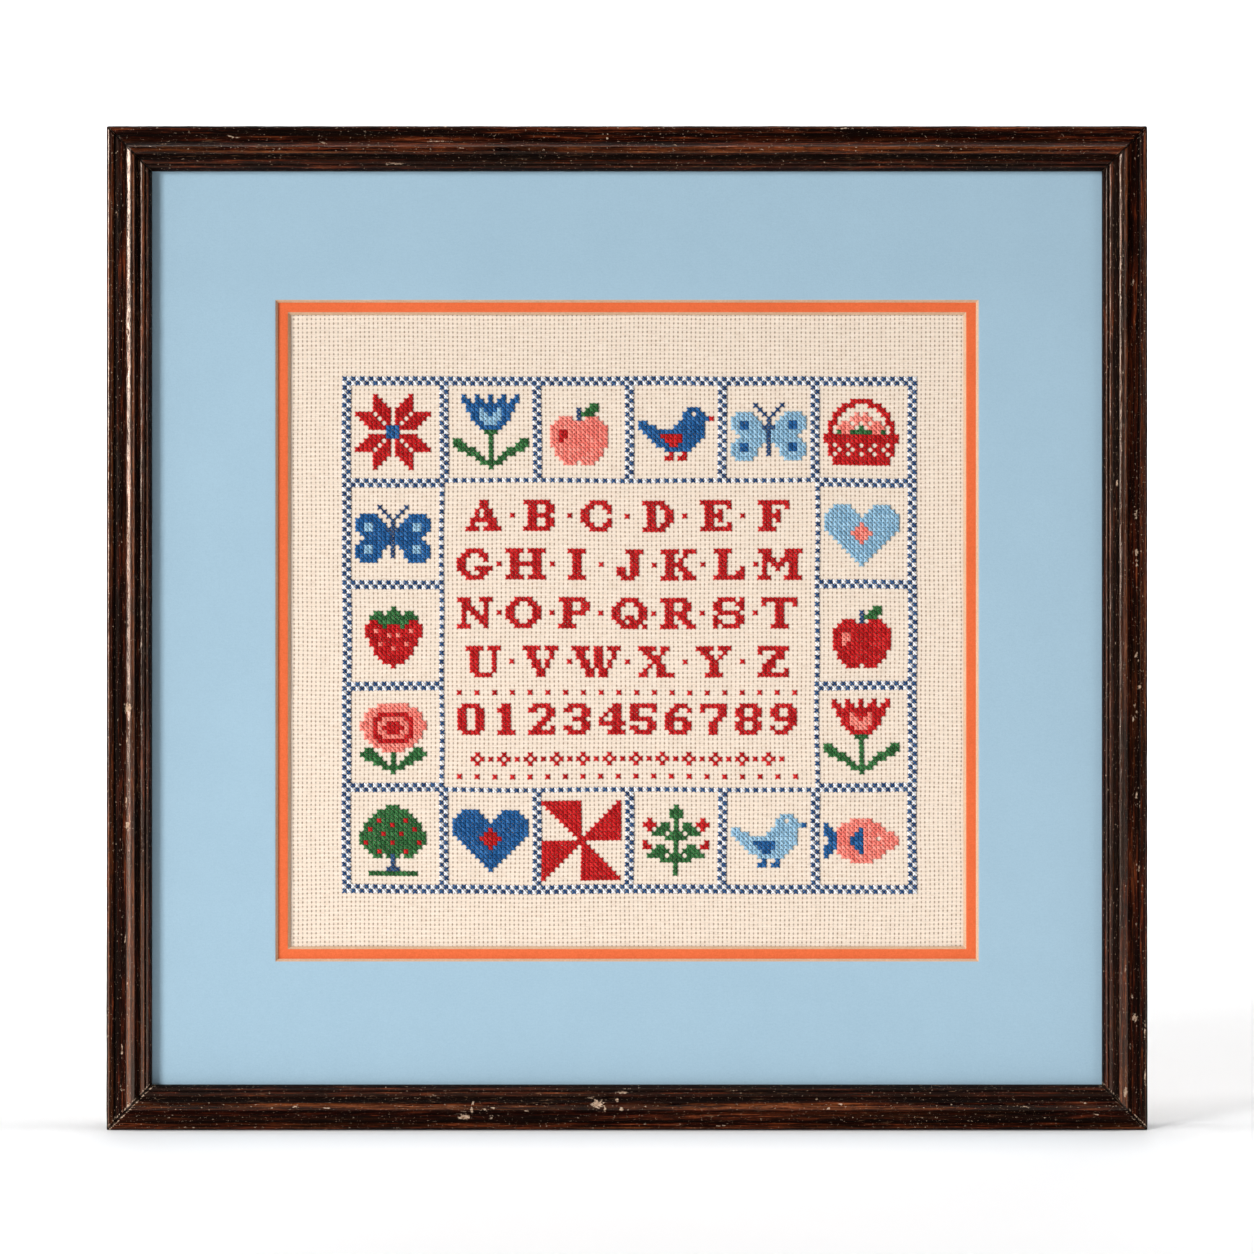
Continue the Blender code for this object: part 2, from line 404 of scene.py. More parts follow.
def stained_wood(name, shine):
    """Dark stain with red brown streaks, ridges paler from rubbing and a painted highlight, dirt and painted
    shade in the hollows, flecks and knocks.
    """
    material, tree, shader = new_finish(name)
    place = add(tree, "UVMap", {}, uv_map="grain").outputs[0]
    wear_and_painted_light = add(tree, "Attribute", {}, attribute_name="wear_and_painted_light").outputs["Fac"]
    bare = add(tree, "Attribute", {}, attribute_name="bare").outputs["Fac"]
    joint = add(tree, "Attribute", {}, attribute_name="joint").outputs["Fac"]
    # Up from 0 the wood is rubbed and carries a painted highlight, down from 0 it is dirty and carries
    # painted shade
    rub_and_highlight = arithmetic(tree, "MAXIMUM", wear_and_painted_light, 0.0)
    grime_and_shade = arithmetic(tree, "MAXIMUM", times(tree, wear_and_painted_light, -1.0), 0.0)
    streaks = clouds(tree, place, (30, 600, 1), 7, 0.70, (0.3, 0.1, 0), 0.4)
    broad = clouds(tree, place, (11, 150, 1), 3, 0.5, (4.0, 2.0, 0), 0.3)
    fibres = clouds(tree, place, (70, 1900, 1), 4, 0.65, (7.0, 3.0, 0))
    chips = clouds(tree, place, (700, 1300, 1), 5, 0.75, (2.0, 9.0, 0))
    breaks = clouds(tree, place, (70, 260, 1), 4, 0.7, (5.0, 8.0, 0))
    patches = clouds(tree, place, (7, 190, 1), 5, 0.62, (1.0, 6.0, 0), 0.4)
    # The stain lies thick and black in one streak, and thin and red in the next
    stain = colours(
        tree, mixture(tree, (streaks, 0.42), (broad, 0.22), (fibres, 0.36)),
        (0.430, (0.0014, 0.0004, 0.0002)), (0.485, (0.0050, 0.0008, 0.0004)),
        (0.525, (0.019, 0.0028, 0.0011)), (0.565, (0.078, 0.0125, 0.0040)), (0.615, (0.240, 0.056, 0.016)),
    )
    # Rubbed crests are browner, partly as a painted highlight, and in patches the stain is worn down to pale
    # fibres, most of all on those crests
    rubbed_and_highlit = times(tree, threshold(tree, breaks, 0.42, 0.62), rub_and_highlight)
    stain = blend(tree, times(tree, rubbed_and_highlit, 0.35), stain, (0.12, 0.036, 0.014))
    worn_wood = colours(tree, fibres, (0.40, (0.075, 0.014, 0.004)), (0.60, (0.34, 0.092, 0.024)))
    worn_and_painted_light = times(tree, threshold(tree, patches, 0.45, 0.62), plus(tree, times(tree, rub_and_highlight, 0.75), 0.06))
    stain = blend(tree, worn_and_painted_light, stain, worn_wood)
    # Dirt and painted shade darken the hollows to near black
    stain = blend(tree, times(tree, grime_and_shade, 0.85), stain, GRIME_AND_SHADE)
    # Fine chips and scratches come in clusters, and soot has settled in between
    scratches = clouds(tree, place, (150, 2600, 1), 3, 0.7, (8.0, 1.0, 0), 0.6)
    clusters = clouds(tree, place, (22, 90, 1), 2, 0.5, (3, 3, 0))
    chipped = threshold(tree, chips, 0.62, 0.68)
    marks = arithmetic(tree, "MAXIMUM", chipped, threshold(tree, scratches, 0.62, 0.67))
    marks = times(tree, marks, threshold(tree, clusters, 0.52, 0.64))
    stain = blend(tree, times(tree, marks, 0.6), stain, (0.36, 0.19, 0.10))
    soot = clouds(tree, place, (260, 1100, 1), 3, 0.7, (4.0, 7.0, 0))
    stain = blend(tree, times(tree, threshold(tree, soot, 0.50, 0.60), 0.5), stain, SOOT)
    # The chips break up the edges of the knocks. The crack of the joint is dark over everything.
    open_wood = colours(tree, chips, (0.42, (0.20, 0.10, 0.05)), (0.58, (0.62, 0.45, 0.32)))
    ragged = plus(tree, bare, times(tree, arithmetic(tree, "SUBTRACT", chips, 0.5), 3.6))
    knocked = threshold(tree, ragged, 0.46, 0.56)
    stain = blend(tree, knocked, stain, open_wood)
    feed(tree, shader.inputs["Base Color"], blend(tree, threshold(tree, joint, 0.15, 0.50), stain, GRIME_AND_SHADE))
    dull = arithmetic(tree, "SUBTRACT", rescale(tree, broad, 0.3, 0.7, 0.30, 0.40), times(tree, rub_and_highlight, 0.24))
    dull = plus(tree, dull, times(tree, grime_and_shade, 0.30))
    feed(tree, shader.inputs["Roughness"], arithmetic(tree, "MAXIMUM", dull, times(tree, knocked, 0.8)))
    # The grain stands out more where the varnish is broken, so the glints scatter there
    broken = rescale(tree, breaks, 0.56, 0.42, 0.25, 1.0)
    height = times(tree, mixture(tree, (fibres, 0.5), (chips, 0.5)), broken)
    feed(tree, shader.inputs["Normal"], relief(tree, height, 0.22, 0.7))
    shader.inputs["Specular IOR Level"].default_value = shine
    # Old varnish has yellowed, so what it mirrors looks warm
    shader.inputs["Specular Tint"].default_value = (1.0, 0.76, 0.62, 1.0)
    return material


def raw_wood():
    """The unstained back of the rails, a dull brown with darker grain and dust."""
    material, tree, shader = new_finish("raw_wood")
    place = add(tree, "UVMap", {}, uv_map="grain").outputs[0]
    grain = clouds(tree, place, (9, 420, 1), 5, 0.6)
    dirt = clouds(tree, place, (30, 60, 1), 3, 0.6, (5, 1, 0))
    wood = colours(
        tree, grain, (0.35, (0.16, 0.085, 0.045)), (0.52, (0.30, 0.18, 0.10)), (0.70, (0.40, 0.26, 0.16))
    )
    dusty = threshold(tree, dirt, 0.5, 0.75)
    feed(tree, shader.inputs["Base Color"], blend(tree, dusty, wood, (0.10, 0.06, 0.04)))
    feed(tree, shader.inputs["Roughness"], threshold(tree, grain, -0.9, 0.9))
    feed(tree, shader.inputs["Normal"], relief(tree, grain, 0.2, 0.5))
    return material


POLISHED_WOOD = stained_wood("polished_wood", 0.95)
RUBBED_WOOD = stained_wood("rubbed_wood", 0.50)
SATIN_WOOD = stained_wood("satin_wood", 0.22)
DULL_WOOD = stained_wood("dull_wood", 0.05)
RAW_WOOD = raw_wood()

# %% [markdown]
# ## The knocks in the rails
#
# Years on walls and in boxes have left the frame with dents, scrapes and flakes, most of them on the
# bottom rail and on the right one. Each is a shallow oval pushed into the wood, with the stain gone
# inside it. They are listed one by one: how far along the rail from its left or lower end, how far across
# from the outer side, how long, how wide and how deep, and how much of the stain is gone.

# %% The list of knocks
KNOCKS = {
    "rail_bottom": (
        (200, 10.9, 5, 3.2, 0.45, 1), (198, 13.2, 1.2, 0.9, 0.15, 0.9), (203, 8.9, 0.9, 2.8, 0.15, 0.9),
        (205.2, 13.6, 3.6, 2.6, 0.5, 0), (210, 15.2, 5, 0.7, 0.15, 0.9),
        (207.9, 12.4, 1.3, 0.9, 0.15, 0.9), (209.9, 8.8, 1.8, 1.5, 0.2, 1),
        (234.1, 16.4, 1.3, 0.8, 0.15, 0.8), (183.1, 4.6, 1.2, 0.8, 0.15, 0.8),
        (171.3, 7.9, 1.3, 1, 0.2, 0.9), (145.8, 5.2, 5.6, 2, 0.25, 1), (148.8, 8.2, 1.1, 3.2, 0.2, 1),
        (149.4, 11.2, 0.7, 2.6, 0.15, 0.9), (154.2, 8.7, 2.6, 0.9, 0.15, 0.9),
        (157.8, 9.2, 3.2, 0.7, 0.15, 0.8), (145.2, 8, 2.6, 0.6, 0.1, 0.8), (141.4, 10, 2, 0.5, 0.1, 0.8),
        (157, 5.2, 2.4, 0.6, 0.1, 0.8), (77.6, 9.9, 1.8, 1.1, 0.2, 0.9), (89.8, 9.5, 1.8, 0.8, 0.15, 0.8),
        (114.2, 9.6, 2, 0.6, 0.15, 0.8), (133, 14, 2.8, 0.5, 0.1, 0.7), (293.9, 9.1, 1.9, 1, 0.2, 0.9),
        (289.4, 12.8, 0.9, 0.7, 0.1, 0.8), (298.8, 10.8, 0.9, 0.8, 0.1, 0.8),
        (342.3, 9.5, 1.2, 0.9, 0.1, 0.8), (373.7, 9.9, 3, 0.6, 0.1, 0.8), (104, 14.4, 2.4, 0.5, 0.1, 0.7),
        (35, 1.2, 3, 0.5, 0.08, 0.6), (118, 1, 4, 0.4, 0.08, 0.6), (250, 1.8, 5, 0.4, 0.08, 0.6),
        (402.6, 6.4, 3.4, 0.8, 0.15, 0.8), (398, 11.5, 2.2, 0.7, 0.15, 0.8),
    ),
    "rail_right": (
        (180.6, 3.3, 1.6, 1.3, 0.2, 0.9), (193.6, 4.6, 2.6, 1.1, 0.2, 0.9),
        (191.2, 3.9, 1.2, 0.8, 0.2, 0.9), (173, 5.2, 1.4, 0.9, 0.15, 0.9),
        (170.4, 4.3, 1.2, 0.9, 0.15, 0.9), (167.8, 5.4, 1.4, 0.9, 0.15, 0.9),
        (136.4, 4.5, 3, 0.8, 0.15, 0.9), (132.4, 4, 0.9, 2.2, 0.15, 0.9),
        (250.6, 4.6, 4.4, 1.3, 0.25, 0.7), (235.6, 4.5, 2.8, 1.5, 0.25, 0.9),
        (232, 4.2, 1.4, 1, 0.2, 0.9), (230, 4.3, 1.2, 1, 0.2, 0.9), (106.9, 3.5, 2.2, 0.9, 0.15, 0.9),
        (45.8, 5.1, 3.6, 2.4, 0.35, 0.8), (54.7, 5.9, 0.9, 2, 0.15, 0.9),
        (66.1, 9.2, 1.3, 0.9, 0.15, 0.9), (34.4, 7.1, 3, 0.7, 0.15, 0.9), (16, 9.2, 4.4, 1.8, 0.3, 1),
        (18.5, 14, 1.4, 1.1, 0.15, 0.9), (345.5, 5.5, 2.8, 1.4, 0.3, 0.8),
        (263.7, 12.4, 1.2, 1, 0.15, 0.7), (22, 1, 9, 0.5, 0.1, 0.8), (41, 1.1, 6, 0.5, 0.1, 0.8),
        (84, 4.2, 2, 0.7, 0.15, 0.8),
    ),
    "rail_left": (
        (324.8, 8.8, 1.6, 1.1, 0.2, 0.8), (330, 10, 2.8, 2.2, 0.45, 0), (241.3, 8.8, 1.2, 1, 0.2, 0.9),
        (172, 9.2, 3.8, 3.4, 0.25, 1), (159.1, 8.8, 3.2, 0.8, 0.12, 0.9),
        (141.2, 8.6, 2.2, 0.6, 0.12, 0.8), (133.7, 8.3, 4.6, 0.7, 0.12, 0.9), (124, 8.8, 3, 2.2, 0.25, 1),
        (105.6, 7.1, 2.2, 0.8, 0.15, 0.8), (78.4, 7.9, 3, 0.6, 0.12, 0.9),
        (32.7, 6.3, 4.2, 0.7, 0.12, 0.8), (16.4, 5.9, 2.4, 0.7, 0.12, 0.8),
        (10.3, 9.6, 1, 2.4, 0.15, 0.9), (291, 14.3, 2, 0.9, 0.3, 0), (60, 9, 2.4, 0.6, 0.12, 0.8),
    ),
    "rail_top": (
        (88.2, 7.1, 1.2, 1, 0.15, 0.9), (144, 9.2, 1.1, 0.9, 0.15, 0.9), (177.8, 10, 1.2, 0.9, 0.15, 0.8),
        (231.6, 7.9, 1.1, 0.9, 0.15, 0.9), (267, 10.4, 1.1, 0.9, 0.15, 0.8),
        (70.7, 10, 6, 0.5, 0.08, 0.7), (117.5, 15.3, 8, 0.4, 0.08, 0.7), (134.6, 6.3, 9, 0.4, 0.08, 0.6),
        (300, 1.2, 6, 0.4, 0.08, 0.6), (204, 5, 1.2, 0.9, 0.12, 0.8), (338, 8.4, 1.4, 0.8, 0.12, 0.8),
        (52, 4.4, 2.6, 0.5, 0.1, 0.7),
    ),
}
# How far the stain is worn off along the mitre at the left or lower end, and at the other end
MITRE_WEAR = {
    "rail_bottom": (0.52, 0.30),
    "rail_left": (0.45, 0.0),
    "rail_right": (0.35, 0.0),
    "rail_top": (0.0, 0.0),
}
print("knocks:", {rail: len(rows) for rail, rows in KNOCKS.items()})

# %% [markdown]
# ## The four rails
#
# A framer cuts each rail from one length of moulding, with both ends at 45 degrees. So each is the
# section carried along a straight path, a grid with the section in one direction and stations along the
# rail in the other. The stations fan out from square in the middle to 45 degrees at the ends, which
# makes the mitres without any cutting. They stand closer together where there is a knock, because the
# dents are real shape and not only a pattern. Each rail also gets its own painted light in five zones of
# the moulding: painted shade that darkens a zone as grime would, and a painted highlight that pales one
# as rubbing would.


# %% Section, stations, dents and rails
def moulding_section():
    """Across and height of the section's points, each one's number for age and painted light, and which faces
    get the bright finish.

    Each member is the straight line between its ends plus bow * 4 t (1 - t) at right angles, with t from
    0 to 1. Rubbing, partly a painted highlight, follows that same hump, between 0.4 and 1 times the
    member's own number, so it is strongest on the crest of a reed. Dirt, partly painted shade, fills its
    member evenly. A face gets the bright finish when the member it belongs to has more than 0.3.
    """
    across = [np.zeros(2)]
    height = [np.array([0.0, OUTER_SIDE_HEIGHT])]
    worn_and_painted_light = [np.zeros(2)]
    rubbed_and_highlit = [np.zeros(1, bool)]
    for _member, end_across, end_height, bow, steps, wear_and_painted_light in MOULDING:
        t = np.arange(1, steps + 1) / steps
        run = end_across - across[-1][-1]
        rise = end_height - height[-1][-1]
        hump = 4 * t * (1 - t)
        swell = bow * hump / math.hypot(run, rise)
        start_across, start_height = across[-1][-1], height[-1][-1]
        across.append(start_across + run * t - swell * rise)
        height.append(start_height + rise * t + swell * run)
        worn_and_painted_light.append(wear_and_painted_light * (0.4 + 0.6 * hump) if wear_and_painted_light > 0 else np.full(steps, wear_and_painted_light))
        rubbed_and_highlit.append(np.full(steps, wear_and_painted_light > 0.3))
    behind_lip = RAIL_WIDTH - RABBET_WIDTH
    across.append(np.array([RAIL_WIDTH, behind_lip, behind_lip]))
    height.append(np.array([RABBET_DEPTH, RABBET_DEPTH, 0.0]))
    worn_and_painted_light.append(np.zeros(3))
    rubbed_and_highlit.append(np.zeros(4, bool))
    return tuple(np.concatenate(parts) for parts in (across, height, worn_and_painted_light, rubbed_and_highlit))


ACROSS, HEIGHT, WEAR_AND_PAINTED_LIGHT, RUBBED = moulding_section()
FRAME_DEPTH = HEIGHT.max()
FRAME_WIDTH = (cad_bounds[1].x - cad_bounds[0].x) / MM
FRAME_HEIGHT = (cad_bounds[1].z - cad_bounds[0].z) / MM
BACK_FACES = 3
STATION_STEP = 1.9
# Where the reeds, the slope, the crown's outer side and the crown's top end. The last zone is the rest.
ZONES = (3.2, 8.5, 9.8, 11.4)
# How uneven the planed wood is, and the groove that has opened along each mitre
WOBBLE = 0.035
GROOVE_WIDTH = 0.6
GROOVE_DEPTH = 0.22
GROOVE_SHADE = 0.45


def stations(length, knocks):
    """Places along a rail as shares from 0 to 1: evenly spaced, and closer near the ends and each knock."""
    near_end = np.array([0.2, 0.4, 0.7, 1.1, 1.6])
    places = [np.linspace(0, 1, int(length / STATION_STEP)), near_end / length, 1 - near_end / length]
    for along, _across, long, _wide, _deep, _bare in knocks:
        near = along + np.linspace(-0.5, 0.5, 7) * (long + 1.2)
        places.append(near / length)
    places = np.clip(np.concatenate(places), 0, 1)
    return np.unique(np.round(places, 4))


def knocked_in(name, seed, along, start, length):
    """How far each point is pushed in, and how much of its stain is gone.

    Both fall by an S curve from the middle of a knock to nothing at its ragged edge. Along a worn mitre
    the stain goes in a bell curve, 1 mm past the joint.
    """
    across = ACROSS[None, :]
    dent = np.zeros(along.shape)
    bare = np.zeros(along.shape)
    ragged = 1 + 0.22 * unevenness(seed + 50, 10, along, across, (0.7, 2.4), (0.7, 2.4))
    for knock_along, knock_across, long, wide, deep, stain_gone in KNOCKS[name]:
        away = np.hypot((along - knock_along) / (long / 2), (across - knock_across) / (wide / 2)) * ragged
        hollow = np.clip(1.35 - away, 0, 1)
        hollow = hollow * hollow * (3 - 2 * hollow)
        dent = np.maximum(dent, deep * hollow)
        bare = np.maximum(bare, stain_gone * hollow)
    for worn_off, past_end in zip(MITRE_WEAR[name], (along - start, length - start - along)):
        bare = np.maximum(bare, worn_off * np.exp(-((past_end - 1.0) / 0.5) ** 2))
    return dent, bare


def dressed_rail(name, length, place_of, seed, crests, zone_shade_and_highlight):
    """One rail: section points by stations, pushed in at its knocks.

    place_of(along, across) gives x and z. Along is measured from the left or lower end, and the station
    with share t is at t * (length - 2 across) + across, set back a little for the joint. The last argument
    adds painted shade to each zone of ZONES on this rail, darkening it like dirt, and where it is negative
    a painted highlight, paling it like rubbing.
    """
    t = stations(length, KNOCKS[name])[:, None]
    across = ACROSS[None, :]
    start = across + MITRE_SET_BACK
    along = start + t * (length - 2 * start)
    # Outward direction of the section at each point, from its neighbours on both sides
    tangent = np.stack([np.roll(ACROSS, -1) - np.roll(ACROSS, 1), np.roll(HEIGHT, -1) - np.roll(HEIGHT, 1)])
    tangent /= np.hypot(*tangent)
    front = (HEIGHT > RABBET_DEPTH + 1).astype(float) * (HEIGHT < FRAME_DEPTH - 0.05)
    wobble = unevenness(seed, 14, along, across, (7, 45), (5, 16)) * WOBBLE
    dent, bare = knocked_in(name, seed, along, start, length)
    from_end = np.minimum(along - start, length - start - along)
    groove = np.clip(1 - from_end / GROOVE_WIDTH, 0, 1) * GROOVE_DEPTH
    push = (wobble - dent - groove) * front
    moved_across = across - push * tangent[1]
    moved_height = HEIGHT + push * tangent[0]
    x, z = place_of(along, moved_across)
    y = FRAME_DEPTH / 2 - np.minimum(moved_height, FRAME_DEPTH)
    rows, columns = along.shape
    points = np.stack(np.broadcast_arrays(x, y, z), axis=-1).reshape(-1, 3)
    sides = grid_faces(rows, columns, wrap_columns=True)
    ring = np.arange(columns)
    ends = np.stack([ring[::-1], ring + (rows - 1) * columns])
    # Faces point outwards when the signed volume of the side faces is positive
    a, b, c, d = (points[sides[:, k]] for k in range(4))
    volume = (np.cross(b - a, c - a) * a).sum() + (np.cross(c - a, d - a) * a).sum()
    if volume < 0:
        sides = sides[:, ::-1]
        ends = ends[:, ::-1]
    rail = make_piece(name + "_dressed", points, sides, ends, smooth_angle=38)
    lay_grain(rail, sides, ends, along, columns, seed)
    # Painted light by zone: shade where the rail's number is positive, a highlight where it is negative
    wear_and_painted_light = np.clip(WEAR_AND_PAINTED_LIGHT - np.array(zone_shade_and_highlight)[np.searchsorted(ZONES, ACROSS)], -1, 1)
    point_numbers(rail, "wear_and_painted_light", np.broadcast_to(wear_and_painted_light, along.shape).ravel())
    point_numbers(rail, "bare", bare.ravel())
    point_numbers(rail, "joint", np.exp(-from_end / GROOVE_SHADE).ravel())
    for finish in (DULL_WOOD, crests, RAW_WOOD):
        rail.data.materials.append(finish)
    # A face belongs to the section point that it starts from, and the last one wraps round to the first
    nearer = (sides % columns).min(axis=1)
    wraps = (nearer == 0) & ((sides % columns).max(axis=1) == columns - 1)
    column = np.where(wraps, columns - 1, nearer)
    which = np.where(column >= columns - BACK_FACES, 2, RUBBED[column].astype(int))
    rail.data.polygons.foreach_set("material_index", np.append(which, (2, 2)).astype(np.int32))
    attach(rail, "root")
    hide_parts(name)


def lay_grain(rail, sides, ends, along, columns, seed):
    """The grain map: metres along the rail, and metres round the section from the back's outer corner.

    Every rail is shifted by its own seed, so no two have the same streaks.
    """
    step = np.hypot(np.roll(ACROSS, -1) - ACROSS, np.roll(HEIGHT, -1) - HEIGHT)
    reach = np.concatenate([[0.0], np.cumsum(step)])
    column = sides % columns
    crosses_seam = (column.max(axis=1) == columns - 1) & (column.min(axis=1) == 0)
    column = np.where(crosses_seam[:, None] & (column == 0), columns, column)
    u = along.ravel()[sides]
    v = reach[column]
    side_map = np.stack([u, v], axis=-1).reshape(-1, 2)
    end_column = ends % columns
    end_map = np.stack([ACROSS[end_column], HEIGHT[end_column]], axis=-1).reshape(-1, 2)
    corner_map(rail, "grain", (np.concatenate([side_map, end_map]) + (seed * 37.0, seed * 71.0)) * MM)


HALF_WIDTH = FRAME_WIDTH / 2
rails = (
    # name, length, x and z of a place, seed, finish of the crests, and painted shade (plus) and painted
    # highlight (minus) zone by zone
    ("rail_bottom", FRAME_WIDTH, lambda along, across: (along - HALF_WIDTH, across),
     1, SATIN_WOOD, (0.1, 0, 0.4, -0.7, 0.8)),
    ("rail_top", FRAME_WIDTH, lambda along, across: (along - HALF_WIDTH, FRAME_HEIGHT - across),
     2, SATIN_WOOD, (0.5, 0, 0.2, -0.4, 0.5)),
    ("rail_left", FRAME_HEIGHT, lambda along, across: (across - HALF_WIDTH, along),
     3, POLISHED_WOOD, (0, 0, 0, 0, 0)),
    ("rail_right", FRAME_HEIGHT, lambda along, across: (HALF_WIDTH - across, along),
     4, RUBBED_WOOD, (0, 0, 0, 0, 0.25)),
)
for rail in rails:
    dressed_rail(*rail)

# %% [markdown]
# ## The two mats
#
# A mat is a sheet of board with a window cut at a slant, so the pale core shows as a thin bevel. The
# front one is light blue. The one behind it is orange and shows as a narrow band. Both are a loop of
# points round the window, stretched step by step to the loop round the outside. The sheet lies very
# slightly uneven, as paper board does. The face paper and the core get finishes of their own.


# %% Mat finishes and mats
def mat_paper(name, deep, main, pale):
    """A matte coloured face paper with soft mottling, fine fibres and a tooth."""
    material, tree, shader = new_finish(name)
    place = add(tree, "TexCoord", {}).outputs["Object"]
    mottle = clouds(tree, place, (28, 28, 28), 4, 0.6)
    fibres = clouds(tree, place, (520, 520, 1500), 3, 0.7, (1, 2, 3), 0.6)
    tooth = clouds(tree, place, (1500, 1500, 1500), 3, 0.7)
    mixed = mixture(tree, (mottle, 0.2), (fibres, 0.3), (tooth, 0.5))
    feed(tree, shader.inputs["Base Color"], colours(tree, mixed, (0.38, deep), (0.50, main), (0.62, pale)))
    feed(tree, shader.inputs["Roughness"], threshold(tree, tooth, -1.6, 0.9))
    feed(tree, shader.inputs["Normal"], relief(tree, tooth, 0.12, 0.6))
    shader.inputs["Specular IOR Level"].default_value = 0.12
    return material


BLUE_PAPER = mat_paper("blue_paper", (0.335, 0.490, 0.600), (0.355, 0.515, 0.625), (0.375, 0.540, 0.650))
ORANGE_PAPER = mat_paper("orange_paper", (0.72, 0.130, 0.040), (0.79, 0.150, 0.049), (0.84, 0.172, 0.060))
MAT_CORE = mat_paper("mat_core", (0.58, 0.36, 0.22), (0.66, 0.42, 0.27), (0.74, 0.49, 0.33))


def rectangle(width, height, middle_z, per_side):
    """x and z round an upright rectangle, per_side points to a side, from the lower left corner."""
    t = np.arange(per_side) / per_side
    one = np.ones(per_side)
    u = np.concatenate([2 * t - 1, one, 1 - 2 * t, -one])
    v = np.concatenate([-one, 2 * t - 1, one, 1 - 2 * t])
    return u * width / 2, middle_z + v * height / 2


def bevelled_mat(name, window, paper, seed):
    """A mat as loops from the foot of the bevel round the front face and back to the foot.

    A point of the front face is the window loop times (1 - s) plus the outline loop times s. Its depth
    gains a sum of long sine waves, at most 0.08 mm, that fades out at the window, where the cut edge is
    0.06 mm lower.
    """
    low, high = (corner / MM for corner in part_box(name))
    outline = (high.x - low.x, high.z - low.z, (high.z + low.z) / 2)
    width, height, middle_z = window
    per_side = 64
    loop = 4 * per_side
    window_x, window_z = rectangle(width, height, middle_z, per_side)
    foot_x, foot_z = rectangle(width - 2 * BEVEL_WIDTH, height - 2 * BEVEL_WIDTH, middle_z, per_side)
    outline_x, outline_z = rectangle(*outline, per_side)
    share = np.array([0.0, 0.004, 0.02, 0.06, 0.15, 0.3, 0.45, 0.6, 0.75, 0.9, 1.0])[:, None]
    face_x = window_x * (1 - share) + outline_x * share
    face_z = window_z * (1 - share) + outline_z * share
    lift = unevenness(seed, 9, face_x, face_z, (120, 320), (120, 320)) * 0.04 * np.clip(share * 4, 0, 1)
    face_y = low.y + np.clip(lift, -0.08, 0.08)
    face_y[0] += 0.06
    back_y = np.full((1, loop), high.y)
    x = np.concatenate([foot_x[None], face_x, outline_x[None]])
    z = np.concatenate([foot_z[None], face_z, outline_z[None]])
    y = np.concatenate([back_y, face_y, back_y])
    rows = len(x)
    points = np.stack([x, y, z], axis=-1).reshape(-1, 3)
    faces = grid_faces(rows, loop, wrap_rows=True, wrap_columns=True)[:, ::-1]
    mat = make_piece(name + "_dressed", points, faces, smooth_angle=30)
    mat.data.materials.append(paper)
    mat.data.materials.append(MAT_CORE)
    row = np.repeat(np.arange(rows), loop)
    is_face = (row >= 1) & (row < rows - 2)
    mat.data.polygons.foreach_set("material_index", (~is_face).astype(np.int32))
    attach(mat, "root")
    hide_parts(name)


# The windows sit a little low in the frame
WINDOW_MIDDLE = FRAME_HEIGHT / 2 - 1.1
OUTER_WINDOW = (288.0, 271.0, WINDOW_MIDDLE)
INNER_WINDOW = (278.2, 261.2, WINDOW_MIDDLE)
bevelled_mat("outer_mat", OUTER_WINDOW, BLUE_PAPER, 21)
bevelled_mat("inner_mat", INNER_WINDOW, ORANGE_PAPER, 22)

# %% [markdown]
# ## Where a stitch is on the cloth
#
# Everything on the cloth is counted in stitches, as on a paper chart: u to the right and v down, from
# the upper left corner of the stitching. A hand-stretched cloth is never quite true, so one function
# turns (u, v) into x and z with a slight wander. The cloth and the stitches both use it, and so each
# stitch meets its holes.

# %% The stitcher's coordinates
BLOCK_LEFT = -116.9
BLOCK_TOP = 307.7


def on_cloth(u, v):
    """x and z of chart place (u, v): straight scaling by the pitch, plus 0.16 mm of slow sine waves."""
    x = BLOCK_LEFT + u * PITCH + 0.16 * unevenness(31, 6, u, v, (60, 160), (25, 90))
    z = BLOCK_TOP - v * PITCH + 0.16 * unevenness(32, 6, u, v, (25, 90), (60, 160))
    return x, z


print("corner of the stitching:", [round(float(part), 2) for part in on_cloth(0, 0)])
